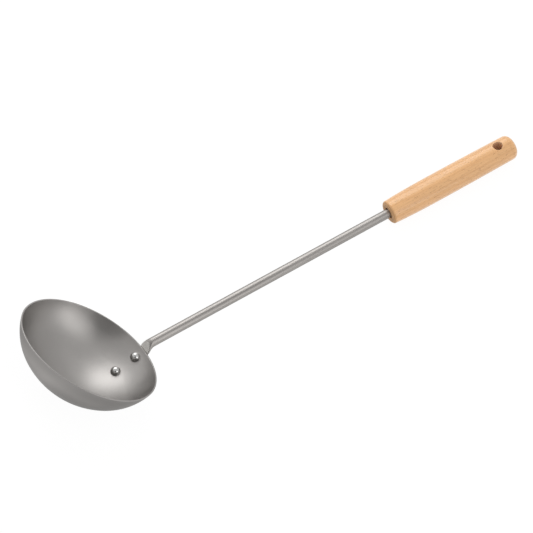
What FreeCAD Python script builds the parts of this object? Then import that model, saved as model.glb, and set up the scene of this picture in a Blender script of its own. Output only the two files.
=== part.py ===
import FreeCAD
import Part
import Sketcher

import math
import os

# Wok ladle: a deep pressed bowl, a round tube whose end is pressed flat, bent down and
# riveted to the outside of the bowl, and a turned wooden handle on the tube's other end.
#
# The ladle's own frame has its origin at the middle of the bowl's rim, X towards the
# handle and Z out of the bowl's mouth. XZ is the plane of symmetry.
# The shaft's frame has X along the tube, away from the bowl, and its origin at the point
# of the tube's axis that is nearest to the outer edge of the rim.
# At the end the whole ladle is laid down as it comes to rest on a table: rolled on to the
# side of its bowl, the edge of its tang and the end of its handle.

# Driving sizes in millimetres and degrees: alias, value, what it is.
SIZES = [
    ("rim_radius", 62.75, "outer radius of the bowl at its rim"),
    ("bowl_depth", 42.5, "rim plane to the outside of the bottom"),
    ("wall", 1.2, "sheet thickness of the bowl"),
    ("rim_slope", 75.0, "slope of the wall at the rim, from the rim plane"),
    ("join_slope", 41.26, "slope of the wall where its side arc meets its bottom arc"),
    ("rim_round", 0.3, "rounding of the two edges of the rim"),
    ("shaft_angle", 38.6, "tube's axis above the rim plane"),
    ("shaft_rise", 3.6, "tube's axis above the outer edge of the rim, square to the axis"),
    ("tube_diameter", 8.0, "outside of the tube"),
    ("tube_wall", 1.2, "wall of the tube"),
    ("bend_start_top", 8.0, "where the bend starts on top of the tube, along the axis"),
    ("bend_start_under", 8.8, "where the bend starts under the tube, along the axis"),
    ("bend_corner", 4.8, "where the top would turn down if the bend were sharp, along the axis"),
    ("crease_top", 5.9, "start of the pressed face on top of the tube, along the axis"),
    ("heel_rise", 0.7, "foot of the pressed face above the rim"),
    ("heel_gap", 0.2, "foot of the pressed face outside the radius of the rim"),
    ("heel_thickness", 2.7, "thickness of the pressed tube at that foot"),
    ("heel_width", 11.0, "width of the pressed tube at that foot"),
    ("face_depth", 0.6, "depth that the face is pressed at its foot"),
    ("tang_width", 11.6, "width of the flattened end"),
    ("tang_thickness", 2.4, "thickness of the flattened end"),
    ("tang_taper", 6.0, "drop below the rim at which the end has become flat"),
    ("tang_tip", 7.6, "middle of the lower rivet to the tip of the tang"),
    ("rivet_drop", 9.8, "rim to the upper rivet, along the wall"),
    ("rivet_pitch", 20.8, "upper to lower rivet, along the wall"),
    ("rivet_shank", 4.8, "diameter of a rivet's shank"),
    ("rivet_clearance", 0.1, "rivet hole over the shank, on the diameter"),
    ("head_diameter", 8.8, "rivet head in the bowl"),
    ("head_height", 4.0, "height of the rivet head"),
    ("head_edge", 0.4, "straight edge below the head's dome"),
    ("tail_diameter", 7.4, "rivet tail on the tang"),
    ("tail_height", 1.1, "height of the rivet tail"),
    ("tail_edge", 0.3, "straight edge below the tail's dome"),
    ("handle_start", 242.9, "front face of the handle, along the tube's axis"),
    ("handle_length", 127.2, "handle from face to face"),
    ("handle_belly", 23.0, "largest diameter of the handle"),
    ("belly_place", 42.0, "front face to the largest diameter"),
    ("front_taper", 1.1, "loss of radius from the belly to the front face"),
    ("back_taper", 0.7, "loss of radius from the belly to the rear face"),
    ("front_round", 2.6, "rounding of the front edge"),
    ("back_round", 5.6, "rounding of the rear edge"),
    ("bore_clearance", 0.1, "handle bore over the tube, on the diameter"),
    ("bore_depth", 80.0, "front face to the bottom of the bore that holds the tube"),
    ("tube_end_gap", 1.0, "end of the tube to the bottom of the bore"),
    ("mouth_gap", 1.1, "wider mouth of the bore around the tube"),
    ("mouth_depth", 3.0, "depth of that mouth"),
    ("mouth_chamfer", 0.5, "chamfer of the mouth"),
    ("hang_diameter", 8.4, "hanging hole"),
    ("hang_place", 15.4, "hanging hole to the rear face"),
    ("hang_round", 0.45, "rounding of the hanging hole's edges"),
]

# Outer radii of the bowl's two arcs: the only ones that meet without a kink at the join and
# run from the level bottom at the full depth to the slope and radius of the rim.
PROFILE_SCALE = ("(sin(join_slope * 1 deg) - sin(rim_slope * 1 deg)"
                 " + sin((rim_slope - join_slope) * 1 deg))")
DERIVED = [
    ("side_radius", "=(bowl_depth * sin(join_slope * 1 deg) - rim_radius"
     " * (1 - cos(join_slope * 1 deg))) / " + PROFILE_SCALE, "side arc of the profile"),
    ("bottom_radius", "=(rim_radius * (cos(join_slope * 1 deg) - cos(rim_slope * 1 deg))"
     " - bowl_depth * (sin(rim_slope * 1 deg) - sin(join_slope * 1 deg))) / " + PROFILE_SCALE,
     "bottom arc of the profile"),
]

# Points of one closed section of the pressed tube, and the powers of its superellipse:
# 2 is an ellipse, and higher powers are flatter with tighter corners.
SECTION_POINTS = 40
ROUND_POWER = 2.0
HEEL_POWER = 2.8
FLAT_POWER = 5.0
# Sections from the straight tube to the heel, from there to the flat, and along the flat.
NECK_STEPS = 8
TAPER_STEPS = 3
FLAT_STEPS = 12
# The neck spreads late: this power of the way along it drives its width.
SPREAD_DELAY = 1.2
# The tang is drawn this far into the wall and past its tip before both are cut true.
SEAT_OVERLAP = 0.4
# The tip is rounded to a little more than half the tang's width, so that its arc crosses
# the two edges instead of running along them.
TIP_EASE = 1.02
# Walls of the tube that meet where it is pressed still leave this slit between them.
SLIT = 0.3
# Longer than anything that a cutting tool has to pass through.
REACH = 40.0
# The search for the pose at rest: first roll in degrees, rounds, trial step, and samples
# along the tang.
FIRST_ROLL = 20.0
REST_ROUNDS = 8
TRIAL_TURN = 0.01
REACH_STEPS = 400

Vector = FreeCAD.Vector
ORIGIN = Vector(0, 0, 0)
X_AXIS = Vector(1, 0, 0)
Y_AXIS = Vector(0, 1, 0)
Z_AXIS = Vector(0, 0, 1)

doc = FreeCAD.newDocument("wok_ladle")


def make_sheet():
    """The sheet of sizes: name, value or formula, and meaning in each row."""
    sizes = doc.addObject("Spreadsheet::Sheet", "sizes")
    for row, (alias, value, meaning) in enumerate(SIZES + DERIVED, start=1):
        sizes.set(f"A{row}", alias)
        sizes.set(f"B{row}", str(value))
        sizes.set(f"C{row}", meaning)
        sizes.setAlias(f"B{row}", alias)
    doc.recompute()
    return sizes


sheet = make_sheet()
size = {alias: float(getattr(sheet, alias)) for alias, _value, _meaning in SIZES + DERIVED}


def slope_vector(slope):
    """Outward normal of the bowl's profile where it slopes by so many radians."""
    return Vector(math.sin(slope), 0, -math.cos(slope))


# The bowl's profile: a side arc, and a bottom arc that meets it without a kink.
rim_slope = math.radians(size["rim_slope"])
join_slope = math.radians(size["join_slope"])
bottom_radius = size["bottom_radius"]
rim_edge = Vector(size["rim_radius"], 0, 0)
side_centre = rim_edge - slope_vector(rim_slope) * size["side_radius"]
bottom_centre = Vector(0, 0, bottom_radius - size["bowl_depth"])
side_length = (rim_slope - join_slope) * size["side_radius"]


def on_side(slope, offset=0.0):
    return side_centre + slope_vector(slope) * (size["side_radius"] + offset)


def on_bottom(slope, offset=0.0):
    return bottom_centre + slope_vector(slope) * (bottom_radius + offset)


def wall_place(drop, offset=0.0):
    """Point and outward normal, so far down the outer profile and so far off it."""
    if drop <= side_length:
        slope = rim_slope - drop / size["side_radius"]
        return on_side(slope, offset), slope_vector(slope)
    slope = join_slope - (drop - side_length) / bottom_radius
    return on_bottom(slope, offset), slope_vector(slope)


# The shaft's frame, and where the pieces lie along it and along the wall.
shaft_angle = math.radians(size["shaft_angle"])
axis_way = Vector(math.cos(shaft_angle), 0, math.sin(shaft_angle))
axis_up = Vector(-math.sin(shaft_angle), 0, math.cos(shaft_angle))
axis_foot = rim_edge + axis_up * size["shaft_rise"]
tube_radius = size["tube_diameter"] / 2
tube_end = size["handle_start"] + size["bore_depth"] - size["tube_end_gap"]
rivet_drops = [size["rivet_drop"], size["rivet_drop"] + size["rivet_pitch"]]
tip_drop = rivet_drops[1] + size["tang_tip"]


def on_shaft(along, up=0.0):
    """Point of the symmetry plane, so far along the tube's axis and above it."""
    return axis_foot + axis_way * along + axis_up * up


# Sketches


def sketch_on(body, role, name):
    """A sketch on one of the body's own origin planes."""
    plane = [item for item in body.Origin.OriginFeatures if item.Role == role][0]
    sketch = body.newObject("Sketcher::SketchObject", name)
    sketch.AttachmentSupport = [(plane, "")]
    sketch.MapMode = "FlatFace"
    return sketch


def line(start, end):
    return Part.LineSegment(Vector(*start), Vector(*end))


def arc(centre, start, end):
    """Arc of a sketch about a centre, anticlockwise from start to end."""
    middle = Vector(*centre)
    first = Vector(*start) - middle
    last = Vector(*end) - middle
    circle = Part.Circle(middle, Z_AXIS, first.Length)
    return Part.ArcOfCircle(circle, math.atan2(first.y, first.x), math.atan2(last.y, last.x))


def add_outline(sketch, pieces):
    """Adds a closed outline and ties the end of each piece to the start of the next.

    A piece is its geometry, whether the outline runs along it forwards, and whether it
    runs on smoothly into the next one.
    """
    sketch.addGeometry([piece for piece, _forwards, _smooth in pieces])
    for number, (_piece, forwards, smooth) in enumerate(pieces):
        after = (number + 1) % len(pieces)
        end = 2 if forwards else 1
        start = 1 if pieces[after][1] else 2
        kind = "Tangent" if smooth else "Coincident"
        sketch.addConstraint(Sketcher.Constraint(kind, number, end, after, start))


def bind_place(sketch, vertex, name, across=None, along=None):
    """Binds a vertex's distances from the sketch's origin to formulas of the sheet."""
    point = sketch.getPoint(*vertex)
    for kind, value, formula in (("DistanceX", point.x, across), ("DistanceY", point.y, along)):
        if formula is None:
            continue
        number = sketch.addConstraint(Sketcher.Constraint(kind, -1, 1, *vertex, value))
        label = f"{name}_{kind[-1].lower()}"
        sketch.renameConstraint(number, label)
        sketch.setExpression("Constraints." + label, formula)


def bind_radius(sketch, number, name, formula):
    radius = sketch.Geometry[number].Radius
    sketch.renameConstraint(
        sketch.addConstraint(Sketcher.Constraint("Radius", number, radius)), name)
    sketch.setExpression("Constraints." + name, formula)


def put_on_axis(sketch, axis, *vertices):
    number = {"H_Axis": -1, "V_Axis": -2}[axis]
    for vertex in vertices:
        sketch.addConstraint(Sketcher.Constraint("PointOnObject", *vertex, number))


# Features


def revolve(body, sketch, axis):
    """Turns a sketch once round one of its own two axes."""
    turned = body.newObject("PartDesign::Revolution", sketch.Name + "_turned")
    turned.Profile = sketch
    turned.ReferenceAxis = (sketch, [axis])
    turned.Angle = 360
    doc.recompute()
    return turned


def drill(body, name, place, radius_formula, depth_formula):
    """A round hole from a place above the surface down along its own axis."""
    before = body.Tip.Shape.Volume
    sketch = sketch_on(body, "XY_Plane", name + "_circle")
    sketch.AttachmentOffset = place
    sketch.addGeometry(Part.Circle(ORIGIN, Z_AXIS, 1.0))
    sketch.addConstraint(Sketcher.Constraint("Coincident", 0, 3, -1, 1))
    bind_radius(sketch, 0, "hole_radius", radius_formula)
    hole = body.newObject("PartDesign::Pocket", name)
    hole.Profile = sketch
    hole.setExpression("Length", depth_formula)
    doc.recompute()
    if hole.Shape.Volume > before - SLIT:
        raise ValueError(name + " cuts nothing")
    return hole


def edges_where(shape, wanted):
    """Names of the edges that pass a test."""
    return [f"Edge{number}" for number, edge in enumerate(shape.Edges, start=1)
            if wanted(edge)]


def dress(body, kind, edge_names, name, formula):
    """A fillet or chamfer on some edges of the body as it is so far."""
    base = body.Tip
    dressed = body.newObject("PartDesign::" + kind, name)
    dressed.Base = (base, edge_names)
    dressed.setExpression("Radius" if kind == "Fillet" else "Size", formula)
    doc.recompute()
    return dressed


# The bowl


def make_bowl():
    """A sheet of even thickness pressed to the profile, its rim trimmed level."""
    body = doc.addObject("PartDesign::Body", "bowl")
    sketch = sketch_on(body, "XZ_Plane", "bowl_profile")
    wall = size["wall"]
    rim_in = side_centre.x + math.sqrt((size["side_radius"] - wall) ** 2 - side_centre.z ** 2)
    side = (side_centre.x, side_centre.z)
    bottom = (0, bottom_centre.z)
    join_out = (on_side(join_slope).x, on_side(join_slope).z)
    join_in = (on_side(join_slope, -wall).x, on_side(join_slope, -wall).z)
    under = (0, -size["bowl_depth"])
    inside = (0, wall - size["bowl_depth"])
    add_outline(sketch, [
        (arc(bottom, under, join_out), True, True),
        (arc(side, join_out, (rim_edge.x, 0)), True, False),
        (line((rim_edge.x, 0), (rim_in, 0)), True, False),
        (arc(side, join_in, (rim_in, 0)), False, True),
        (arc(bottom, inside, join_in), False, False),
        (line(inside, under), True, False),
    ])
    sketch.addConstraint(Sketcher.Constraint("Coincident", 0, 3, 4, 3))
    sketch.addConstraint(Sketcher.Constraint("Coincident", 1, 3, 3, 3))
    put_on_axis(sketch, "V_Axis", (0, 3), (0, 1), (4, 1))
    put_on_axis(sketch, "H_Axis", (1, 2), (2, 2))
    bind_place(sketch, (1, 2), "rim", across="sizes.rim_radius")
    bind_place(sketch, (0, 1), "under", along="-sizes.bowl_depth")
    bind_place(sketch, (1, 3), "side", along="sizes.side_radius * cos(sizes.rim_slope * 1 deg)")
    bind_radius(sketch, 1, "side_outside", "sizes.side_radius")
    bind_radius(sketch, 3, "side_inside", "sizes.side_radius - sizes.wall")
    shell = revolve(body, sketch, "V_Axis")
    rims = edges_where(shell.Shape, lambda edge: abs(edge.BoundBox.ZMin) < 0.01)
    dress(body, "Fillet", rims, "rim_rounding", "sizes.rim_round")
    for number, drop in enumerate(rivet_drops, start=1):
        start, normal = wall_place(drop, wall)
        drill(body, f"rivet_hole_{number}",
              FreeCAD.Placement(start, FreeCAD.Rotation(Z_AXIS, normal)),
              "(sizes.rivet_shank + sizes.rivet_clearance) / 2", "3 * sizes.wall")
    return body


# The rivets: frame with Z along the rivet, outwards, and its origin on the bowl's outside


def make_rivet(name, drop):
    """A domed head in the bowl, a shank through bowl and tang, and a low upset tail."""
    body = doc.addObject("PartDesign::Body", name)
    sketch = sketch_on(body, "XZ_Plane", name + "_profile")
    # A flat-bottomed head sits on the hollow wall by its edge.
    inner_radius = size["side_radius"] - size["wall"]
    head_radius = size["head_diameter"] / 2
    lift = inner_radius - math.sqrt(inner_radius ** 2 - head_radius ** 2)
    seat = -size["wall"] - lift
    top = seat - size["head_height"]
    brow = seat - size["head_edge"]
    tail = size["tang_thickness"]
    tail_brow = tail + size["tail_edge"]
    tail_top = tail + size["tail_height"]
    shank_radius = size["rivet_shank"] / 2
    tail_radius = size["tail_diameter"] / 2
    head_rise = brow - top
    tail_rise = tail_top - tail_brow
    head_sphere = (head_radius ** 2 + head_rise ** 2) / (2 * head_rise)
    tail_sphere = (tail_radius ** 2 + tail_rise ** 2) / (2 * tail_rise)
    add_outline(sketch, [
        (arc((0, top + head_sphere), (0, top), (head_radius, brow)), True, False),
        (line((head_radius, brow), (head_radius, seat)), True, False),
        (line((head_radius, seat), (shank_radius, seat)), True, False),
        (line((shank_radius, seat), (shank_radius, tail)), True, False),
        (line((shank_radius, tail), (tail_radius, tail)), True, False),
        (line((tail_radius, tail), (tail_radius, tail_brow)), True, False),
        (arc((0, tail_top - tail_sphere), (tail_radius, tail_brow), (0, tail_top)), True, False),
        (line((0, tail_top), (0, top)), True, False),
    ])
    put_on_axis(sketch, "V_Axis", (0, 3), (0, 1), (6, 3), (6, 2))
    seat_formula = ("(-sizes.wall - (sizes.side_radius - sizes.wall) + sqrt((sizes.side_radius"
                    " - sizes.wall) ^ 2 - (sizes.head_diameter / 2) ^ 2))")
    head = "sizes.head_diameter / 2"
    shank = "sizes.rivet_shank / 2"
    tail_side = "sizes.tail_diameter / 2"
    tang = "sizes.tang_thickness"
    bind_place(sketch, (0, 1), "dome", along=seat_formula + " - sizes.head_height")
    bind_place(sketch, (1, 1), "brow", across=head, along=seat_formula + " - sizes.head_edge")
    bind_place(sketch, (2, 1), "seat", across=head, along=seat_formula)
    bind_place(sketch, (3, 1), "neck", across=shank, along=seat_formula)
    bind_place(sketch, (4, 1), "root", across=shank, along=tang)
    bind_place(sketch, (5, 1), "tail", across=tail_side, along=tang)
    bind_place(sketch, (6, 1), "tail_brow", across=tail_side, along=tang + " + sizes.tail_edge")
    bind_place(sketch, (6, 2), "tail_top", along=tang + " + sizes.tail_height")
    revolve(body, sketch, "V_Axis")
    start, normal = wall_place(drop)
    body.Placement = FreeCAD.Placement(start, FreeCAD.Rotation(Z_AXIS, normal))
    return body


# The handle: frame with X along the tube's axis and its origin on the front face


def make_handle():
    """Turned wood with its fullest place near the front, bored for the tube."""
    body = doc.addObject("PartDesign::Body", "handle")
    sketch = sketch_on(body, "XY_Plane", "handle_profile")
    length = size["handle_length"]
    depth = size["bore_depth"]
    bore = (size["tube_diameter"] + size["bore_clearance"]) / 2
    mouth = tube_radius + size["mouth_gap"]
    belly = (size["belly_place"], size["handle_belly"] / 2)
    front = (0, belly[1] - size["front_taper"])
    back = (length, belly[1] - size["back_taper"])
    centres = []
    for end in (front, back):
        run, fall = end[0] - belly[0], belly[1] - end[1]
        centres.append((belly[0], belly[1] - (run ** 2 + fall ** 2) / (2 * fall)))
    add_outline(sketch, [
        (line((depth, 0), (depth, bore)), True, False),
        (line((depth, bore), (size["mouth_depth"], bore)), True, False),
        (line((size["mouth_depth"], bore), (size["mouth_depth"], mouth)), True, False),
        (line((size["mouth_depth"], mouth), (0, mouth)), True, False),
        (line((0, mouth), front), True, False),
        (arc(centres[0], belly, front), False, True),
        (arc(centres[1], back, belly), False, False),
        (line(back, (length, 0)), True, False),
        (line((length, 0), (depth, 0)), True, False),
    ])
    put_on_axis(sketch, "H_Axis", (0, 1), (8, 1))
    put_on_axis(sketch, "V_Axis", (4, 1), (4, 2))
    bore_formula = "(sizes.tube_diameter + sizes.bore_clearance) / 2"
    mouth_formula = "sizes.tube_diameter / 2 + sizes.mouth_gap"
    belly_formula = "sizes.handle_belly / 2"
    bind_place(sketch, (0, 1), "bottom", across="sizes.bore_depth")
    bind_place(sketch, (1, 1), "bore", across="sizes.bore_depth", along=bore_formula)
    bind_place(sketch, (2, 1), "step", across="sizes.mouth_depth", along=bore_formula)
    bind_place(sketch, (3, 1), "mouth", across="sizes.mouth_depth", along=mouth_formula)
    bind_place(sketch, (4, 1), "lip", along=mouth_formula)
    bind_place(sketch, (4, 2), "front", along=belly_formula + " - sizes.front_taper")
    bind_place(sketch, (5, 1), "belly", across="sizes.belly_place", along=belly_formula)
    bind_place(sketch, (5, 3), "belly_centre", across="sizes.belly_place")
    bind_place(sketch, (7, 1), "back", across="sizes.handle_length",
               along=belly_formula + " - sizes.back_taper")
    bind_place(sketch, (8, 1), "back_middle", across="sizes.handle_length")
    revolve(body, sketch, "H_Axis")
    for name, kind, along, across, formula in (
            ("front_rounding", "Fillet", 0, front[1], "sizes.front_round"),
            ("back_rounding", "Fillet", length, back[1], "sizes.back_round"),
            ("mouth_edge", "Chamfer", 0, mouth, "sizes.mouth_chamfer")):
        rings = edges_where(body.Tip.Shape, lambda edge: is_ring(edge, along, across))
        dress(body, kind, rings, name, formula)
    hole_place = length - size["hang_place"]
    drill(body, "hanging_hole", FreeCAD.Placement(Vector(hole_place, 0, REACH), FreeCAD.Rotation()),
          "sizes.hang_diameter / 2", f"2 * {REACH}")
    mouths = edges_where(body.Tip.Shape, lambda edge: is_hole_mouth(edge, hole_place))
    dress(body, "Fillet", mouths, "hanging_hole_rounding", "sizes.hang_round")
    start = on_shaft(size["handle_start"])
    body.Placement = FreeCAD.Placement(start, FreeCAD.Rotation(Y_AXIS, -size["shaft_angle"]))
    return body


def is_ring(edge, along, across):
    """Whether an edge is a circle about X at this place and of this radius."""
    curve = edge.Curve
    if not isinstance(curve, Part.Circle):
        return False
    return abs(curve.Center.x - along) < 0.01 and abs(curve.Radius - across) < 0.01


def is_hole_mouth(edge, along):
    """Whether an edge runs round the hanging hole on the outside of the handle."""
    box = edge.BoundBox
    near = box.XMax < along + size["hang_diameter"] and box.XMin > along - size["hang_diameter"]
    return near and box.ZLength < tube_radius and abs(box.Center.z) > size["hang_diameter"]


# The shaft, made by lofting because its section changes from round to flat round a bend


def section(top, bottom, width, power):
    """Closed section of the pressed tube between two points of the symmetry plane.

    A superellipse: |across / half width| and |along / half height|, both to the given
    power, add up to 1.
    """
    middle = (top + bottom) * 0.5
    along = (bottom - top) * 0.5
    points = []
    for number in range(SECTION_POINTS):
        turn = 2 * math.pi * number / SECTION_POINTS
        cosine, sine = math.cos(turn), math.sin(turn)
        share = math.copysign(abs(cosine) ** (2 / power), cosine)
        side = math.copysign(abs(sine) ** (2 / power), sine)
        points.append(middle + along * share + Y_AXIS * (side * width / 2))
    curve = Part.BSplineCurve()
    curve.interpolate(points, PeriodicFlag=True)
    return Part.Wire([curve.toShape()])


def slanted_section(top, bottom, radius):
    """The tube cut on the slant: an ellipse as wide as the tube and longer than it."""
    middle = (top + bottom) * 0.5
    ellipse = Part.Ellipse(bottom, middle + Y_AXIS * radius, middle)
    return Part.Wire([ellipse.toShape()])


bend_top = on_shaft(size["bend_start_top"], tube_radius)
bend_under = on_shaft(size["bend_start_under"], -tube_radius)
face_top = on_shaft(size["crease_top"], tube_radius)
face_foot = rim_edge + X_AXIS * size["heel_gap"] + Z_AXIS * size["heel_rise"]
face_normal = Y_AXIS.cross(face_foot - face_top).normalize()
heel_under = face_foot + slope_vector(rim_slope) * size["heel_thickness"]
heel_top = face_foot + face_normal * size["face_depth"]


def crossing(start, start_way, end, end_way):
    """Where two lines of the symmetry plane cross."""
    gap = end - start
    turn = start_way.x * end_way.z - start_way.z * end_way.x
    return start + start_way * ((gap.x * end_way.z - gap.z * end_way.x) / turn)


wall_way = Vector(math.cos(rim_slope), 0, math.sin(rim_slope))
top_corner = on_shaft(size["bend_corner"], tube_radius)
under_corner = crossing(bend_under, axis_way, heel_under, wall_way)


def bend_point(start, corner, end, share):
    """Point of the parabola that leaves start and reaches end heading for the corner."""
    return start * (1 - share) ** 2 + corner * (2 * share * (1 - share)) + end * share ** 2


def blend(start, end, share):
    """Goes from start to end with no kink at either."""
    return start + (end - start) * (1 - math.cos(math.pi * share)) / 2


def neck_form(margin):
    """The neck from the round tube to its heel, this much smaller all round."""
    inset = (bend_under - bend_top) * (margin / size["tube_diameter"])
    wires = [slanted_section(bend_top + inset, bend_under - inset, tube_radius - margin)]
    for number in range(1, NECK_STEPS + 1):
        share = number / NECK_STEPS
        top = bend_point(bend_top, top_corner, heel_top, share)
        bottom = bend_point(bend_under, under_corner, heel_under, share)
        spread = share ** SPREAD_DELAY
        width = blend(size["tube_diameter"], size["heel_width"], spread) - 2 * margin
        power = blend(ROUND_POWER, HEEL_POWER, share)
        height = (bottom - top).Length
        inset = (bottom - top) * (min(margin, (height - SLIT) / 2) / height)
        wires.append(section(top + inset, bottom - inset, width, power))
    return Part.makeLoft(wires, True)


def above_face(margin):
    """Everything on the bowl's side of the pressed face, above the rim plane."""
    block = Part.makeBox(REACH, REACH, REACH, Vector(-REACH / 2, -REACH / 2, 0))
    block.Placement = FreeCAD.Placement(
        face_foot - face_normal * margin, FreeCAD.Rotation(Z_AXIS, face_normal))
    below = Part.makeBox(4 * REACH, 4 * REACH, REACH, Vector(0, -2 * REACH, -REACH))
    return block.cut(below)


def tang_form():
    """The flattened end, from the heel down the outside of the bowl and past its tip."""
    wires = [section(heel_top, heel_under, size["heel_width"], HEEL_POWER)]
    for number in range(1, TAPER_STEPS + 1):
        share = number / TAPER_STEPS
        drop = size["tang_taper"] * share
        thickness = blend(size["heel_thickness"], size["tang_thickness"], share)
        width = blend(size["heel_width"], size["tang_width"], share)
        power = blend(HEEL_POWER, FLAT_POWER, share)
        wires.append(wall_section(drop, thickness, width, power))
    rest = tip_drop + SEAT_OVERLAP - size["tang_taper"]
    for number in range(1, FLAT_STEPS + 1):
        drop = size["tang_taper"] + rest * number / FLAT_STEPS
        wires.append(wall_section(drop, size["tang_thickness"], size["tang_width"], FLAT_POWER))
    return Part.makeLoft(wires, True)


def wall_section(drop, thickness, width, power):
    inner, _normal = wall_place(drop, -SEAT_OVERLAP)
    outer, _normal = wall_place(drop, thickness)
    return section(inner, outer, width, power)


def bowl_form():
    """The bowl's outside as a full solid, up to its rim."""
    under = Vector(0, 0, -size["bowl_depth"])
    bottom = Part.Arc(under, on_bottom(join_slope / 2), on_bottom(join_slope))
    side = Part.Arc(on_side(join_slope), on_side((join_slope + rim_slope) / 2), rim_edge)
    lid = Part.makePolygon([rim_edge, ORIGIN, under])
    outline = Part.Wire([bottom.toShape(), side.toShape()] + lid.Edges)
    return Part.Face(outline).revolve(ORIGIN, Z_AXIS, 360)


def straight_tube(radius):
    """A round bar along the tube's axis, from the slanted start of the bend to its end."""
    bar = Part.makeCylinder(radius, tube_end, axis_foot, axis_way)
    normal = Y_AXIS.cross(bend_under - bend_top)
    if normal.dot(axis_way) > 0:
        normal = normal * -1
    block = Part.makeBox(REACH, REACH, REACH, Vector(-REACH / 2, -REACH / 2, 0))
    block.Placement = FreeCAD.Placement(
        (bend_top + bend_under) * 0.5, FreeCAD.Rotation(Z_AXIS, normal))
    return bar.cut(block)


def tip_waste():
    """What is cut from the tang to round its tip."""
    radius = TIP_EASE * size["tang_width"] / 2
    start, normal = wall_place(tip_drop - radius)
    block = Part.makeBox(REACH, REACH, REACH, Vector(0, -REACH / 2, -REACH / 2))
    disc = Part.makeCylinder(radius, REACH, Vector(0, 0, -REACH / 2))
    waste = block.cut(disc)
    down = Y_AXIS.cross(normal)
    waste.Placement = FreeCAD.Placement(
        start, FreeCAD.Rotation(down, Y_AXIS, normal, "ZXY"))
    return waste


def make_shaft():
    """The tube with its pressed neck and tang, hollow down to the heel."""
    blank = straight_tube(tube_radius).fuse([neck_form(0.0), tang_form()])
    wall = size["tube_wall"]
    hole_radius = (size["rivet_shank"] + size["rivet_clearance"]) / 2
    hollow = neck_form(wall).cut(above_face(wall))
    waste = [bowl_form(), tip_waste(), above_face(0.0), straight_tube(tube_radius - wall), hollow]
    for drop in rivet_drops:
        start, normal = wall_place(drop)
        waste.append(Part.makeCylinder(hole_radius, REACH, start - normal * SEAT_OVERLAP, normal))
    shape = blank.cut(waste)
    shaft = doc.addObject("Part::Feature", "shaft")
    shaft.Shape = shape.Solids[0] if len(shape.Solids) == 1 else shape
    return shaft


# At rest on a table: for any direction, how far the ladle reaches that way


def profile_reach(way):
    """Reach of the bowl's outside, whose profile is turned round Z."""
    across = math.hypot(way.x, way.y)
    slope = math.atan2(across, -way.z)
    if slope > rim_slope:
        return rim_edge.x * across
    turned = Vector(across, 0, way.z)
    centre, radius = side_centre, size["side_radius"]
    if slope < join_slope:
        centre, radius = bottom_centre, bottom_radius
    return centre.dot(turned) + radius


def tang_reach(way):
    """Reach of the tang's flat sections and of the rivet tails on them.

    A superellipse of power p reaches as far as the same formula with power p / (p - 1).
    """
    power = FLAT_POWER / (FLAT_POWER - 1)
    last = tip_drop - size["tang_width"] / 2
    reaches = [tail_reach(drop, way) for drop in rivet_drops]
    for number in range(REACH_STEPS + 1):
        drop = blend(size["tang_taper"], last, number / REACH_STEPS)
        inner, _normal = wall_place(drop, -SEAT_OVERLAP)
        outer, _normal = wall_place(drop, size["tang_thickness"])
        high = abs((outer - inner).dot(way)) / 2
        wide = abs(way.y) * size["tang_width"] / 2
        edge = (high ** power + wide ** power) ** (1 / power)
        reaches.append((inner + outer).dot(way) / 2 + edge)
    return max(reaches)


def tail_reach(drop, way):
    """Reach of a rivet's tail: its dome, or the dome's edge where that is steeper."""
    brow, normal = wall_place(drop, size["tang_thickness"] + size["tail_edge"])
    rise = size["tail_height"] - size["tail_edge"]
    radius = size["tail_diameter"] / 2
    sphere = (radius ** 2 + rise ** 2) / (2 * rise)
    across = (way - normal * way.dot(normal)).Length
    if across * sphere < radius:
        return (brow + normal * (rise - sphere)).dot(way) + sphere
    return brow.dot(way) + radius * across


def handle_reach(way):
    """Reach of the rounded rear edge of the handle."""
    belly = size["handle_belly"] / 2
    run = size["handle_length"] - size["belly_place"]
    side = (run ** 2 + size["back_taper"] ** 2) / (2 * size["back_taper"])
    run -= size["back_round"]
    ring = on_shaft(size["handle_start"] + size["belly_place"] + run)
    ring_radius = belly - side + math.sqrt((side - size["back_round"]) ** 2 - run ** 2)
    across = (way - axis_way * way.dot(axis_way)).Length
    return ring.dot(way) + ring_radius * across + size["back_round"]


def resting_down():
    """The direction that points down when bowl, tang and handle all touch the table.

    It starts with the ladle on its back and rolled to its +Y side, and corrects roll and
    dip by Newton's method until the three reach down equally far.
    """
    def down(roll, dip):
        turned = FreeCAD.Rotation(axis_way, roll).multVec(axis_up * -1)
        return FreeCAD.Rotation(axis_way.cross(turned), dip).multVec(turned)

    def gaps(roll, dip):
        way = down(roll, dip)
        level = profile_reach(way)
        return tang_reach(way) - level, handle_reach(way) - level

    roll, dip = FIRST_ROLL, 0.0
    for _round in range(REST_ROUNDS):
        tang, handle = gaps(roll, dip)
        rolled = gaps(roll + TRIAL_TURN, dip)
        dipped = gaps(roll, dip + TRIAL_TURN)
        tang_roll = (rolled[0] - tang) / TRIAL_TURN
        tang_dip = (dipped[0] - tang) / TRIAL_TURN
        handle_roll = (rolled[1] - handle) / TRIAL_TURN
        handle_dip = (dipped[1] - handle) / TRIAL_TURN
        scale = tang_roll * handle_dip - tang_dip * handle_roll
        roll -= (handle_dip * tang - tang_dip * handle) / scale
        dip -= (tang_roll * handle - handle_roll * tang) / scale
    return down(roll, dip)


def ladle_reach(way):
    return max(profile_reach(way), tang_reach(way), handle_reach(way))


def resting_placement():
    """Lays the ladle on the table, handle along +X, with the middle of its box at 0, 0."""
    up = resting_down() * -1
    along = axis_way - up * axis_way.dot(up)
    along.normalize()
    aside = up.cross(along)
    middle = [(ladle_reach(way) - ladle_reach(way * -1)) / 2 for way in (along, aside)]
    turn = FreeCAD.Rotation(along, aside, up, "ZXY").inverted()
    return FreeCAD.Placement(Vector(-middle[0], -middle[1], ladle_reach(up * -1)), turn)


# The whole ladle


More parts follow.
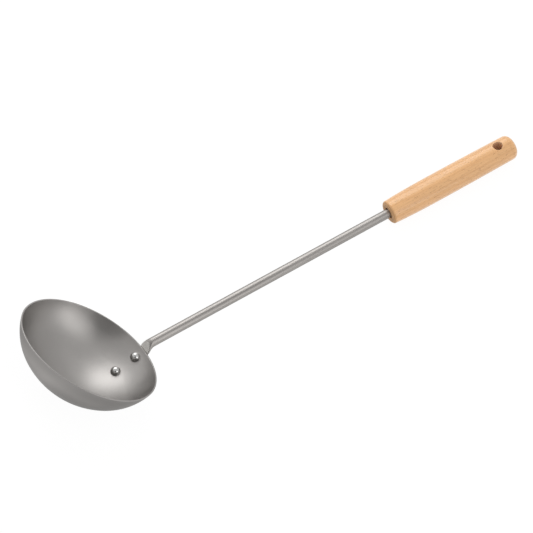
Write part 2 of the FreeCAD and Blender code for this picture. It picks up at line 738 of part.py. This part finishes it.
def check(pieces):
    """Stops before anything is written if an object failed or a shape is not sound."""
    for item in doc.Objects:
        if "Invalid" in item.State or "Error" in item.State:
            raise ValueError(item.Name + " failed: " + ", ".join(item.State))
    for piece in pieces:
        if piece.Shape.isNull() or not piece.Shape.isValid():
            raise ValueError(piece.Label + " has no valid shape")


def main():
    pieces = [make_bowl(), make_shaft(), make_handle()]
    for name, drop in zip(("rivet_upper", "rivet_lower"), rivet_drops):
        pieces.append(make_rivet(name, drop))
    at_rest = resting_placement()
    for piece in pieces:
        piece.Placement = at_rest.multiply(piece.Placement)
    doc.recompute()
    check(pieces)
    os.makedirs("parts", exist_ok=True)
    for piece in pieces:
        piece.Shape.exportStep(f"parts/{piece.Label}.step")
        print(piece.Label, round(piece.Shape.Volume, 1), "mm3")


main()
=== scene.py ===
"""Wok ladle: finishes of its bowl, shaft, rivets and handle, and the table it is shown on.

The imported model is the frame. Its solids are kept as they are and get their materials here.
"""

import bpy
import numpy as np
from mathutils import Matrix, Vector

bl_info = {
    "name": "Wok Ladle",
    "version": (1, 0, 0),
    "blender": (4, 5, 0),
    "location": "View3D > Sidebar > Ladle",
    "description": "Gives the ladle its steel and wood and sets it on a pale table",
    "category": "Object",
}

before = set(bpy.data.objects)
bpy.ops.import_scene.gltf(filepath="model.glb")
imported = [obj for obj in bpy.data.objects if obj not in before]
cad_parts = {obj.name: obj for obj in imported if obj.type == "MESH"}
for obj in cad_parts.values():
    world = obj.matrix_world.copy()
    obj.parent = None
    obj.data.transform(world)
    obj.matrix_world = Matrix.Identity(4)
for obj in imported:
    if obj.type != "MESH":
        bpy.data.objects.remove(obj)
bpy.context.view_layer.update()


# Measures of the ladle, in metres and degrees


def turned(angle, axis):
    """A turn about an axis, by degrees."""
    return Matrix.Rotation(np.radians(angle), 4, axis)


# The ladle's own frame has its origin at the middle of the bowl's rim, X towards the handle
# and Z out of the bowl. As it lies on the table it is tipped towards its handle, rolled to its
# +Y side and swung round by these angles, with the rim's middle at this place.
TIP = 39.45282
ROLL = -18.68391
SWING = 0.27322
RIM_MIDDLE = Vector((-0.182866, 0.0, 0.050390))
LADLE = (Matrix.Translation(RIM_MIDDLE) @ turned(SWING, "Z") @ turned(ROLL, "X")
         @ turned(TIP, "Y"))
BOWL_UP = LADLE.to_3x3() @ Vector((0.0, 0.0, 1.0))
RIM_RADIUS = 0.06275
WALL = 0.0012
# The tube rises from the bowl at this angle, from this point of its axis beside the rim.
SHAFT_ANGLE = 38.6
AXIS_FOOT = Vector((0.060504, 0.0, 0.002813))
SHAFT = LADLE @ Matrix.Translation(AXIS_FOOT) @ turned(-SHAFT_ANGLE, "Y")
# The pressed face of the neck lies in this plane of the shaft's frame.
PRESSED_WAY = Vector((-0.8041, 0.0, 0.5945))
PRESSED_LEVEL = -0.002366
# The handle begins this far along the tube, and its hanging hole lies near its rear end.
HANDLE_START = 0.2429
HANDLE_LENGTH = 0.1272
HANDLE = SHAFT @ Matrix.Translation((HANDLE_START, 0.0, 0.0))
HANG_PLACE = HANDLE_LENGTH - 0.0154
HANG_RADIUS = 0.0042


# Where the finishes change

# A ramp is written as where it begins and where it ends, and then the two shares that it goes
# between, where they aren't 0 and 1. Over a height or a radius it is in metres. Over a
# direction it is how far the surface's normal points that way. A share of 0.2 makes the
# colour a fifth brighter, and -0.2 a fifth darker.

# The bowl's trimmed rim: heights from its top, radii of its inner edge, and its share of the
# bowl's colour.
RIM_HEIGHTS = (-0.0008, -0.0002)
RIM_RADII = (RIM_RADIUS - WALL - 0.0002, RIM_RADIUS - WALL + 0.0002)
RIM_SHARE = 0.95
# The bowl's outer side faces down, with painted shade towards the rim and on one side.
OUTSIDE = (0.05, -0.05)
OUTER_HEIGHTS = (-0.014, -0.002, 0.0, -0.2)
OUTER_WAY = Vector((-0.659, -0.732, -0.174))
OUTER_FACING = (0.75, 1.0, 0.0, -0.28)
# Towards the rim light is painted on its inner side, most of all at the front end, and shade
# is painted on the far side.
INNER_HEIGHTS = (-0.016, -0.004)
FRONT_WAY = Vector((0.76, -0.63, 0.14))
FRONT_FACING = (0.9, 0.99, 0.1, 0.28)
FAR_WAY = Vector((-0.41, -0.287, 0.866))
FAR_FACING = (0.95, 0.99, 0.0, -0.25)

# The tube's band of painted shade: where it faces near the bowl, the side it turns to, from
# where along the tube and how fast it turns, how wide it is, and how much shade is painted
# at the neck and beyond.
BAND_WAY = Vector((0.0133, -0.299, 0.954))
BAND_SIDE = Vector((-0.0035, -0.968, -0.251))
BAND_TURN_START = 0.1
BAND_TURN_RATE = 4.0
BAND_FACING = (0.92, 0.995)
BAND_AT_NECK = (0.02, 0.09, -0.1, -0.2)
BAND_BEYOND = (0.15, 0.24, 0.0, 0.06)
# How far off its plane the pressed face of the neck ends.
PRESSED_OFF = (0.00006, 0.00002)

# The handle's year rings turn about a pith line well outside the handle, and sway by up to
# this much. The late wood of a ring starts, is full, begins to fade and ends at these shares
# of the pitch.
PITH_Y = -0.031
PITH_Z = -0.047
RING_SWAY = 0.006
LATE_WOOD = (0.45, 0.93, 0.95, 1.0)
# The levels of the noise at which a fleck begins and is full, how much it covers the wood, and
# how wide it is.
FLECK_LEVELS = (0.62, 0.7)
FLECK_WEIGHT = 0.5
FLECK_WIDTH = 0.00055
# End grain at both ends, the pale chamfer round the tube, and the front face, all by distance
# from the handle's front.
FRONT_GRAIN = (0.0026, 0.0006)
REAR_GRAIN = (HANDLE_LENGTH - 0.0012, HANDLE_LENGTH - 0.0003)
CHAMFER_DEPTHS = (0.0009, 0.0005)
CHAMFER_RADII = (0.0060, 0.0056)
FRONT_FACE = (0.0040, 0.0025)
# Two darker rings on the front face: the radii at which each starts, is full, begins to fade
# and ends, and its share.
FRONT_DARK_RINGS = (
    ((0.0058, 0.0064, 0.0070, 0.0078), -0.22),
    ((0.0091, 0.0095, 0.0096, 0.0100), -0.16),
)
# The wall of the hanging hole, and how matt the wood is where it is bare and smooth.
HOLE_RADII = (HANG_RADIUS + 0.0004, HANG_RADIUS + 0.0001)
WOOD_ROUGHNESS = 0.4


# The stage: table, room, lamps and camera

# Seen directly, the table is mostly a plain white, of this strength and share. The rest of it
# is what the lamps show.
TABLE_WHITE = 1.05
TABLE_WHITE_SHARE = 0.88
# The ceiling's dark corner and a darker spot in it: the way to each from the ladle, and its
# ramp.
CORNER_WAY = Vector((-0.352, -0.528, 0.773))
CORNER_FACING = (0.74, 0.98)
SPOT_WAY = Vector((-0.272, -0.215, 0.938))
SPOT_FACING = (0.93, 0.985, 1.0, 0.3)
# Each lamp: name, compass angle and height angle of its place seen from the bowl, both in
# degrees, distance, width and height of its face in metres, and power in watts.
LAMPS = (
    ("key_lamp", 62.5, 28.0, 1.1, 0.75, 0.75, 3.9),
    ("fill_lamp", 108.0, 15.0, 1.1, 0.8, 0.75, 1.0),
    ("side_lamp", -65.0, 42.0, 1.1, 0.55, 1.1, 2.5),
)
LAMP_AIM = Vector((-0.18, 0.0, 0.03))
# The camera in the ladle's own frame: compass angle and height angle that it looks from, its
# roll, and how far right, up and back it stands from the rim's middle. Its lens and sensor are
# in millimetres.
CAMERA_AZIMUTH = -143.86266
CAMERA_ELEVATION = 26.87279
CAMERA_ROLL = 32.68698
CAMERA_STAND = Vector((0.14513, 0.06799, 3.5))
CAMERA_LENS = 288.715
CAMERA_SENSOR = 36.0
CAMERA_CLIP = (0.1, 20.0)


# Settings that a user would change


def colour(name, about, default):
    """A colour, as red, green and blue of linear light."""
    return bpy.props.FloatVectorProperty(
        name=name, description=about, default=default, min=0.0, max=1.0, size=3, subtype="COLOR")


def share(name, about, default):
    """A number from 0 to 1."""
    return bpy.props.FloatProperty(
        name=name, description=about, default=default, min=0.0, max=1.0, subtype="FACTOR")


def length(name, about, default):
    """A length in metres, shown to a hundredth of a millimetre."""
    return bpy.props.FloatProperty(
        name=name, description=about, default=default, min=0.0, subtype="DISTANCE",
        unit="LENGTH", precision=5)


class SteelSettings(bpy.types.PropertyGroup):
    bowl_colour: colour("Bowl", "Colour of the blasted steel", (0.376, 0.3615, 0.3495))
    bowl_roughness: share("Bowl roughness", "How matt the blasted steel is", 0.42)
    shaft_colour: colour("Shaft", "Colour of the satin steel", (0.36, 0.342, 0.3255))
    shaft_roughness: share("Shaft roughness", "How matt the tube is", 0.4)
    # The pressed face's pale colour is painted light.
    pressed_painted_light: colour("Pressed face", "Colour of the neck's face", (0.87, 0.855, 0.83))
    rivet_colour: colour("Rivets", "Colour of the polished steel", (0.55, 0.545, 0.535))
    rivet_roughness: share("Rivet roughness", "How matt the rivet heads are", 0.16)
    blast_size: length("Blast marks", "Distance between the marks of the blasting", 0.00035)


class WoodSettings(bpy.types.PropertyGroup):
    light: colour("Light wood", "Colour between the year rings", (0.81, 0.466, 0.218))
    dark: colour("Dark wood", "Colour of the late wood", (0.67, 0.346, 0.144))
    fleck: colour("Flecks", "Colour of the short dark flecks", (0.33, 0.15, 0.06))
    end_grain: colour("End grain", "Colour of the end faces", (0.56, 0.325, 0.16))
    hole: colour("Hanging hole", "Colour of the hole's bare wall", (0.7, 0.46, 0.3))
    lacquer: share("Lacquer", "Weight of the clear coat", 0.85)
    ring_pitch: length("Year rings", "Distance between year rings", 0.0042)
    fleck_length: length("Fleck length", "Length of the flecks along the grain", 0.0032)


class StageSettings(bpy.types.PropertyGroup):
    table: colour("Table", "Colour of the table", (0.95, 0.95, 0.95))
    table_size: length("Table size", "Side of the square table", 12.0)
    room: share("Room", "Brightness of the room", 0.76)
    dark_corner: share("Dark corner", "Brightness of the ceiling's dark corner", 0.36)


# Shader nodes

# A Mix node's sockets for colours, by number, because their names repeat: factor, A, B, result.
MIX_INPUTS = (0, 6, 7)
MIX_RESULT = 2
# Most of a noise lies in the first of these ranges, and nearly all of it in the second.
NOISE_RANGE = (0.3, 0.7)
WIDE_NOISE_RANGE = (0.2, 0.8)


def connect(tree, wire, socket):
    """Feeds a socket with another node's output, or sets it to a number, vector or colour."""
    if isinstance(wire, bpy.types.NodeSocket):
        tree.links.new(wire, socket)
    elif socket.type == "RGBA":
        socket.default_value = (*wire, 1.0)
    else:
        socket.default_value = wire


def connect_all(tree, made, **wires):
    """Feeds or sets a node's inputs, each named as it is, with _ for a space."""
    for name, wire in wires.items():
        connect(tree, wire, made.inputs[name.replace("_", " ")])


def node(tree, kind, settings=None, **wires):
    """Adds a node with its settings and inputs."""
    made = tree.nodes.new("ShaderNode" + kind)
    for name, value in (settings or {}).items():
        setattr(made, name, value)
    connect_all(tree, made, **wires)
    return made


def calc(tree, operation, *wires):
    """A Math node's value."""
    made = node(tree, "Math", {"operation": operation})
    for wire, socket in zip(wires, made.inputs):
        connect(tree, wire, socket)
    return made.outputs[0]


def product(tree, first, *others):
    """Values multiplied with each other."""
    for other in others:
        first = calc(tree, "MULTIPLY", first, other)
    return first


def weigh(tree, base, *pairs):
    """A base value, plus each mask times its weight."""
    for mask, weight in pairs:
        base = calc(tree, "MULTIPLY_ADD", mask, weight, base)
    return base


def vector_calc(tree, operation, *wires, **named):
    """A Vector Math node's vector, or its number for a length or a dot product."""
    made = node(tree, "VectorMath", {"operation": operation}, **named)
    for wire, socket in zip(wires, made.inputs):
        connect(tree, wire, socket)
    return made.outputs["Value" if operation in ("LENGTH", "DOT_PRODUCT") else "Vector"]


def off_axis(tree, first, second):
    """Distance from an axis, from the two distances across it."""
    across = node(tree, "CombineXYZ", X=first, Y=second)
    return vector_calc(tree, "LENGTH", across.outputs[0])


def ramp(tree, wire, low, high, out_low=0.0, out_high=1.0):
    """Goes smoothly from one value to another while the input goes from low to high."""
    made = node(tree, "MapRange", {"interpolation_type": "SMOOTHSTEP"}, Value=wire,
                From_Min=low, From_Max=high, To_Min=out_low, To_Max=out_high)
    return made.outputs["Result"]


def between(tree, wire, start, full, fade, end):
    """Rises to 1 from start to full, and falls back to 0 from fade to end."""
    return product(tree, ramp(tree, wire, start, full), ramp(tree, wire, end, fade))


def facing(tree, way, *edges):
    """A ramp over how far the surface's normal points in a direction of the model."""
    normal = node(tree, "TexCoord").outputs["Normal"]
    return ramp(tree, vector_calc(tree, "DOT_PRODUCT", normal, way), *edges)


def blend(tree, mask, first, second, how="MIX"):
    """Mixes two colours by a mask."""
    made = node(tree, "Mix", {"data_type": "RGBA", "blend_type": how})
    for wire, number in zip((mask, first, second), MIX_INPUTS):
        connect(tree, wire, made.inputs[number])
    return made.outputs[MIX_RESULT]


def cover(tree, base, coat, mask, weight):
    """Lets a second colour cover the base by a mask times a weight."""
    return blend(tree, calc(tree, "MULTIPLY", mask, weight), base, coat)


def tint(tree, base, *pairs):
    """A colour times 1 plus each mask times its weight, so that masks of 0 leave it alone."""
    value = weigh(tree, 1.0, *pairs)
    grey = node(tree, "CombineColor", Red=value, Green=value, Blue=value)
    return blend(tree, 1.0, base, grey.outputs[0], "MULTIPLY")


def relief(tree, height, strength, distance):
    """A Bump node's normal."""
    return node(tree, "Bump", Height=height, Strength=strength, Distance=distance).outputs[0]


def own_place(tree, matrix):
    """Object coordinates turned into a piece's own frame."""
    back = matrix.inverted()
    place = node(tree, "TexCoord").outputs["Object"]
    return node(tree, "Mapping", Vector=place, Location=back.to_translation(),
                Rotation=back.to_euler()).outputs["Vector"]


def group(name, inputs, outputs, fill):
    """A shader node group, built once.

    Its sockets are given as labels with their kinds. The function fill adds its nodes and
    returns the wire of each output.
    """
    if name in bpy.data.node_groups:
        return bpy.data.node_groups[name]
    tree = bpy.data.node_groups.new(name, "ShaderNodeTree")
    for in_out, sockets in (("INPUT", inputs), ("OUTPUT", outputs)):
        for label, kind in sockets.items():
            tree.interface.new_socket(label, in_out=in_out, socket_type="NodeSocket" + kind)
    start = tree.nodes.new("NodeGroupInput")
    end = tree.nodes.new("NodeGroupOutput")
    for label, wire in fill(tree, start.outputs).items():
        tree.links.new(wire, end.inputs[label])
    return tree


def use(tree, made, **wires):
    """Places a group in a tree and gives its outputs."""
    placed = tree.nodes.new("ShaderNodeGroup")
    placed.node_tree = made
    connect_all(tree, placed, **wires)
    return placed.outputs


def steel_wander():
    """Slow cloudiness and fine speckle of a steel surface, each from -1 to 1."""
    def fill(tree, given):
        cloud = node(tree, "TexNoise", Vector=given["Vector"], Scale=given["Cloud Scale"],
                     Detail=3.0, Roughness=0.55)
        speck = node(tree, "TexNoise", Vector=given["Vector"], Scale=given["Speck Scale"],
                     Detail=2.0, Roughness=0.6)
        return {
            "Cloud": ramp(tree, cloud.outputs["Fac"], *NOISE_RANGE, -1.0, 1.0),
            "Speck": ramp(tree, speck.outputs["Fac"], *WIDE_NOISE_RANGE, -1.0, 1.0),
        }
    return group("steel wander",
                 {"Vector": "Vector", "Cloud Scale": "Float", "Speck Scale": "Float"},
                 {"Cloud": "Float", "Speck": "Float"}, fill)


def drawn_lines():
    """Fine lines left along X by drawing, polishing or growth, from 0 to 1.

    Noise whose place is squeezed along X, so that its spots become streaks.
    """
    def fill(tree, given):
        squeeze = node(tree, "CombineXYZ", X=given["Squeeze"], Y=1.0, Z=1.0)
        place = vector_calc(tree, "MULTIPLY", given["Vector"], squeeze.outputs[0])
        lines = node(tree, "TexNoise", Vector=place, Scale=given["Scale"],
                     Detail=given["Detail"], Roughness=0.6)
        return {"Lines": lines.outputs["Fac"]}
    return group("drawn lines",
                 {"Vector": "Vector", "Squeeze": "Float", "Scale": "Float", "Detail": "Float"},
                 {"Lines": "Float"}, fill)


def streaks(tree, place, squeeze, scale, detail):
    """Places the drawn lines in a material, at a place in its piece's own frame."""
    return use(tree, drawn_lines(), Vector=place, Squeeze=squeeze, Scale=scale,
               Detail=detail)["Lines"]


def new_material(name):
    """An empty material, its tree and its Principled shader."""
    made = bpy.data.materials.new(name)
    made.use_nodes = True
    return made, made.node_tree, made.node_tree.nodes["Principled BSDF"]


def dress(names, material):
    """Puts a material on nodes of the frame."""
    for name in names:
        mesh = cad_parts[name].data
        mesh.materials.clear()
        mesh.materials.append(material)


# Finishes


def blasted_steel(steel):
    """The pressed bowl: blasted all over, with a plain, slightly smoother trimmed rim."""
    material, tree, shader = new_material("blasted_steel")
    place = own_place(tree, LADLE)
    parts = node(tree, "SeparateXYZ", Vector=place).outputs
    wander = use(tree, steel_wander(), Vector=place, Cloud_Scale=38.0,
                 Speck_Scale=1.0 / steel.blast_size)
    rim = product(tree, ramp(tree, parts["Z"], *RIM_HEIGHTS),
                  ramp(tree, off_axis(tree, parts["X"], parts["Y"]), *RIM_RADII))
    outside = facing(tree, BOWL_UP, *OUTSIDE)
    inside = calc(tree, "SUBTRACT", 1.0, outside)
    # Painted shade on the outer side, towards the rim and on one side.
    outer_painted_shade = calc(tree, "ADD", ramp(tree, parts["Z"], *OUTER_HEIGHTS),
                 facing(tree, OUTER_WAY, *OUTER_FACING))
    # Painted light on the inner side near the rim, most at the front end, and painted shade on
    # the far side.
    inner_painted_light_and_shade = calc(tree, "ADD", facing(tree, FRONT_WAY, *FRONT_FACING),
                 facing(tree, FAR_WAY, *FAR_FACING))
    inner_painted_light_and_shade = product(tree, inner_painted_light_and_shade, ramp(tree, parts["Z"], *INNER_HEIGHTS))
    blasted = tint(tree, steel.bowl_colour, (wander["Cloud"], 0.035), (wander["Speck"], 0.05))
    blasted = tint(tree, blasted, (outside, outer_painted_shade), (inside, inner_painted_light_and_shade))
    trimmed = tuple(RIM_SHARE * part for part in steel.bowl_colour)
    connect_all(
        tree, shader,
        Base_Color=blend(tree, rim, blasted, trimmed),
        Roughness=weigh(tree, steel.bowl_roughness, (wander["Cloud"], 0.03), (rim, -0.05)),
        Metallic=1.0,
        Specular_Tint=(0.6, 0.6, 0.6),
        Normal=relief(tree, wander["Speck"], strength=0.12, distance=0.00004))
    return material


def satin_steel(steel):
    """The tube: fine lines, a band of painted shade, and a matt neck face painted pale as light.
    """
    material, tree, shader = new_material("satin_steel")
    place = own_place(tree, SHAFT)
    along = node(tree, "SeparateXYZ", Vector=place).outputs["X"]
    lines = streaks(tree, place, squeeze=0.012, scale=2600.0, detail=2.0)
    streak = ramp(tree, lines, *NOISE_RANGE, -1.0, 1.0)
    wander = use(tree, steel_wander(), Vector=place, Cloud_Scale=60.0, Speck_Scale=3000.0)
    # The band of painted shade lies on the tube's upper side near the bowl and turns slowly to
    # its -Y side.
    turn = calc(tree, "MAXIMUM", calc(tree, "SUBTRACT", along, BAND_TURN_START), 0.0)
    aside = vector_calc(tree, "SCALE", BAND_SIDE, Scale=product(tree, turn, BAND_TURN_RATE))
    way = vector_calc(tree, "NORMALIZE", vector_calc(tree, "ADD", aside, BAND_WAY))
    band = facing(tree, way, *BAND_FACING)
    # How much shade is painted in the band: most just past the neck, a little less beyond.
    band_shade = calc(tree, "ADD", ramp(tree, along, *BAND_AT_NECK),
                    ramp(tree, along, *BAND_BEYOND))
    drawn = tint(tree, steel.shaft_colour, (wander["Cloud"], 0.015), (streak, 0.012),
                 (band, band_shade))
    # The neck's pressed face is matt, and its pale colour is painted light.
    level = vector_calc(tree, "DOT_PRODUCT", place, PRESSED_WAY)
    off = calc(tree, "ABSOLUTE", calc(tree, "SUBTRACT", level, PRESSED_LEVEL))
    pressed = ramp(tree, off, *PRESSED_OFF)
    grain = tint(tree, steel.pressed_painted_light, (wander["Speck"], 0.08))
    connect_all(
        tree, shader,
        Base_Color=blend(tree, pressed, drawn, grain),
        Roughness=weigh(tree, steel.shaft_roughness, (streak, 0.015), (pressed, 0.45)),
        Metallic=1.0,
        Specular_Tint=(0.5, 0.5, 0.5),
        Normal=relief(tree, lines, strength=0.025, distance=0.00001))
    return material


def polished_steel(steel):
    """The rivets: domes polished by the tool that set them."""
    material, tree, shader = new_material("polished_rivet_steel")
    wander = use(tree, steel_wander(), Vector=own_place(tree, LADLE), Cloud_Scale=400.0,
                 Speck_Scale=4000.0)
    connect_all(
        tree, shader,
        Base_Color=tint(tree, steel.rivet_colour, (wander["Cloud"], 0.04)),
        Roughness=weigh(tree, steel.rivet_roughness, (wander["Speck"], 0.04)),
        Metallic=1.0,
        Normal=relief(tree, wander["Cloud"], strength=0.1, distance=0.00004))
    return material


def lacquered_beech(wood):
    """The handle: beech with its year rings, short flecks along the grain and clear lacquer."""
    material, tree, shader = new_material("lacquered_beech")
    place = own_place(tree, HANDLE)
    parts = node(tree, "SeparateXYZ", Vector=place).outputs
    along, aside, above = parts["X"], parts["Y"], parts["Z"]
    # Year rings: distances from the pith, swaying along the grain, in steps of the pitch.
    sway = streaks(tree, place, squeeze=0.15, scale=55.0, detail=2.0)
    from_pith = off_axis(tree, calc(tree, "SUBTRACT", aside, PITH_Y),
                         calc(tree, "SUBTRACT", above, PITH_Z))
    depth = weigh(tree, from_pith, (sway, RING_SWAY))
    turn = calc(tree, "FRACT", calc(tree, "DIVIDE", depth, wood.ring_pitch))
    base = cover(tree, wood.light, wood.dark, between(tree, turn, *LATE_WOOD), weight=0.35)
    fine = streaks(tree, place, squeeze=0.035, scale=1500.0, detail=3.0)
    base = tint(tree, base, (ramp(tree, fine, *NOISE_RANGE, -1.0, 1.0), 0.06))
    # Flecks: the tops of a noise that is stretched to their length.
    flecks = streaks(tree, place, squeeze=FLECK_WIDTH / wood.fleck_length, scale=1700.0,
                     detail=1.0)
    fleck = ramp(tree, flecks, *FLECK_LEVELS, 0.0, FLECK_WEIGHT)
    base = blend(tree, fleck, base, wood.fleck)
    # End grain drinks the lacquer and turns darker, and the chamfer round the tube is pale.
    ends = calc(tree, "MAXIMUM", ramp(tree, along, *FRONT_GRAIN), ramp(tree, along, *REAR_GRAIN))
    base = cover(tree, base, wood.end_grain, ends, weight=0.9)
    radius = off_axis(tree, aside, above)
    chamfer = product(tree, ramp(tree, radius, *CHAMFER_RADII),
                      ramp(tree, along, *CHAMFER_DEPTHS))
    base = cover(tree, base, wood.light, chamfer, weight=0.7)
    front = ramp(tree, along, *FRONT_FACE)
    for radii, darkness in FRONT_DARK_RINGS:
        base = tint(tree, base, (product(tree, between(tree, radius, *radii), front), darkness))
    # The hanging hole's wall is bare too.
    from_hole = off_axis(tree, calc(tree, "SUBTRACT", along, HANG_PLACE), aside)
    hole = ramp(tree, from_hole, *HOLE_RADII)
    base = cover(tree, base, wood.hole, hole, weight=0.8)
    lacquered = calc(tree, "SUBTRACT", 1.0, calc(tree, "MAXIMUM", ends, hole))
    connect_all(
        tree, shader,
        Base_Color=base,
        Roughness=weigh(tree, WOOD_ROUGHNESS, (fine, 0.15)),
        Specular_IOR_Level=0.15,
        Coat_Weight=product(tree, lacquered, wood.lacquer),
        Coat_Roughness=0.14,
        Normal=relief(tree, calc(tree, "SUBTRACT", fine, fleck), strength=0.2,
                      distance=0.00005))
    return material


# The table, the room, the lamps and the camera


def add_object(name, data):
    """Adds an object to the scene."""
    made = bpy.data.objects.new(name, data)
    bpy.context.scene.collection.objects.link(made)
    return made


def flat_sheet(name, side):
    """A level square about the origin: x and y run over its side, and z is 0."""
    across = np.linspace(-side / 2, side / 2, 2)
    x, y = np.meshgrid(across, across)
    points = np.stack([x, y, np.zeros_like(x)], axis=-1).reshape(-1, 3)
    mesh = bpy.data.meshes.new(name)
    mesh.from_pydata(points.tolist(), [], [(0, 1, 3, 2)])
    return add_object(name, mesh)


def seen_directly(tree):
    """1 for rays from the camera and for those that metal or glass sends on."""
    path = node(tree, "LightPath").outputs
    seen = calc(tree, "MAXIMUM", path["Is Camera Ray"], path["Is Glossy Ray"])
    return calc(tree, "MAXIMUM", seen, path["Is Transmission Ray"])


def pale_table(paint):
    """White as seen, with what the lamps leave of the ladle's shadow."""
    material, tree, shader = new_material("pale_table")
    grain = node(tree, "TexNoise", Vector=node(tree, "TexCoord").outputs["Object"],
                 Scale=900.0, Detail=2.0)
    grain = ramp(tree, grain.outputs["Fac"], *NOISE_RANGE, -1.0, 1.0)
    connect_all(tree, shader, Base_Color=tint(tree, paint, (grain, 0.01)), Roughness=0.9,
                Specular_IOR_Level=0.0)
    white = node(tree, "Emission", Color=(1.0, 1.0, 1.0), Strength=TABLE_WHITE)
    mixed = node(tree, "MixShader", Fac=product(tree, seen_directly(tree), TABLE_WHITE_SHARE))
    tree.links.new(shader.outputs[0], mixed.inputs[1])
    tree.links.new(white.outputs[0], mixed.inputs[2])
    tree.links.new(mixed.outputs[0], tree.nodes["Material Output"].inputs["Surface"])
    return material


def make_room(bright, dark):
    """A pale room, even all round, with one darker corner in its ceiling."""
    world = bpy.data.worlds.new("room")
    bpy.context.scene.world = world
    world.use_nodes = True
    tree = world.node_tree
    way = node(tree, "TexCoord").outputs["Generated"]
    corner = ramp(tree, vector_calc(tree, "DOT_PRODUCT", way, CORNER_WAY), *CORNER_FACING,
                  bright, dark)
    spot = ramp(tree, vector_calc(tree, "DOT_PRODUCT", way, SPOT_WAY), *SPOT_FACING)
    connect_all(tree, tree.nodes["Background"], Color=(1.0, 1.0, 1.0),
                Strength=product(tree, corner, spot))


def make_lamp(name, azimuth, elevation, distance, width, height, power):
    """A rectangular lamp that looks at the bowl from its place round it."""
    lamp = bpy.data.lights.new(name, "AREA")
    lamp.shape = "RECTANGLE"
    lamp.size, lamp.size_y = width, height
    lamp.energy = power
    turn, rise = np.radians(azimuth), np.radians(elevation)
    way = Vector((np.cos(turn) * np.cos(rise), np.sin(turn) * np.cos(rise), np.sin(rise)))
    made = add_object(name, lamp)
    made.location = LAMP_AIM + way * distance
    made.rotation_mode = "QUATERNION"
    made.rotation_quaternion = way.to_track_quat("Z", "Y")


def make_camera():
    """The camera at the photo's angle.

    A camera looks straight down until it is turned: in the picture, then up to its height
    angle, and then round to its compass angle.
    """
    camera = bpy.data.cameras.new("camera")
    camera.lens = CAMERA_LENS
    camera.sensor_width = CAMERA_SENSOR
    camera.clip_start, camera.clip_end = CAMERA_CLIP
    aim = (turned(CAMERA_AZIMUTH + 90.0, "Z") @ turned(90.0 - CAMERA_ELEVATION, "X")
           @ turned(CAMERA_ROLL, "Z"))
    made = add_object("camera", camera)
    made.matrix_world = LADLE @ aim @ Matrix.Translation(CAMERA_STAND)
    bpy.context.scene.camera = made


# Operators


class LADLE_OT_bowl(bpy.types.Operator):
    """Gives the bowl its blasted steel"""
    bl_idname = "ladle.bowl"
    bl_label = "Bowl"

    def execute(self, context):
        dress(["bowl"], blasted_steel(context.scene.ladle_steel))
        return {"FINISHED"}


class LADLE_OT_shaft(bpy.types.Operator):
    """Gives the tube, its pressed neck and its tang their satin steel"""
    bl_idname = "ladle.shaft"
    bl_label = "Shaft"

    def execute(self, context):
        dress(["shaft"], satin_steel(context.scene.ladle_steel))
        return {"FINISHED"}


class LADLE_OT_rivets(bpy.types.Operator):
    """Gives both rivets their polished steel"""
    bl_idname = "ladle.rivets"
    bl_label = "Rivets"

    def execute(self, context):
        dress(["rivet_upper", "rivet_lower"], polished_steel(context.scene.ladle_steel))
        return {"FINISHED"}


class LADLE_OT_handle(bpy.types.Operator):
    """Gives the handle its lacquered beech"""
    bl_idname = "ladle.handle"
    bl_label = "Handle"

    def execute(self, context):
        dress(["handle"], lacquered_beech(context.scene.ladle_wood))
        return {"FINISHED"}


class LADLE_OT_stage(bpy.types.Operator):
    """Adds the table, the room's light, the lamps and the camera"""
    bl_idname = "ladle.stage"
    bl_label = "Stage"

    def execute(self, context):
        stage = context.scene.ladle_stage
        table = flat_sheet("table", stage.table_size)
        table.data.materials.append(pale_table(stage.table))
        make_room(stage.room, stage.dark_corner)
        for lamp in LAMPS:
            make_lamp(*lamp)
        make_camera()
        context.scene.view_settings.view_transform = "Standard"
        return {"FINISHED"}


class LADLE_PT_panel(bpy.types.Panel):
    """Lists the pieces of the ladle and their settings"""
    bl_idname = "LADLE_PT_panel"
    bl_label = "Wok Ladle"
    bl_space_type = "VIEW_3D"
    bl_region_type = "UI"
    bl_category = "Ladle"

    def draw(self, context):
        layout = self.layout
        for settings in (context.scene.ladle_steel, context.scene.ladle_wood,
                         context.scene.ladle_stage):
            column = layout.column()
            for name in settings.__annotations__:
                column.prop(settings, name)
        for operator in OPERATORS:
            layout.operator(operator.bl_idname)


OPERATORS = (LADLE_OT_bowl, LADLE_OT_shaft, LADLE_OT_rivets, LADLE_OT_handle, LADLE_OT_stage)
CLASSES = (SteelSettings, WoodSettings, StageSettings, *OPERATORS, LADLE_PT_panel)


def register():
    for item in CLASSES:
        bpy.utils.register_class(item)
    bpy.types.Scene.ladle_steel = bpy.props.PointerProperty(type=SteelSettings)
    bpy.types.Scene.ladle_wood = bpy.props.PointerProperty(type=WoodSettings)
    bpy.types.Scene.ladle_stage = bpy.props.PointerProperty(type=StageSettings)


def unregister():
    del bpy.types.Scene.ladle_stage
    del bpy.types.Scene.ladle_wood
    del bpy.types.Scene.ladle_steel
    for item in reversed(CLASSES):
        bpy.utils.unregister_class(item)


def main():
    register()
    bpy.ops.ladle.bowl()
    bpy.ops.ladle.shaft()
    bpy.ops.ladle.rivets()
    bpy.ops.ladle.handle()
    bpy.ops.ladle.stage()


if __name__ == "__main__":
    main()
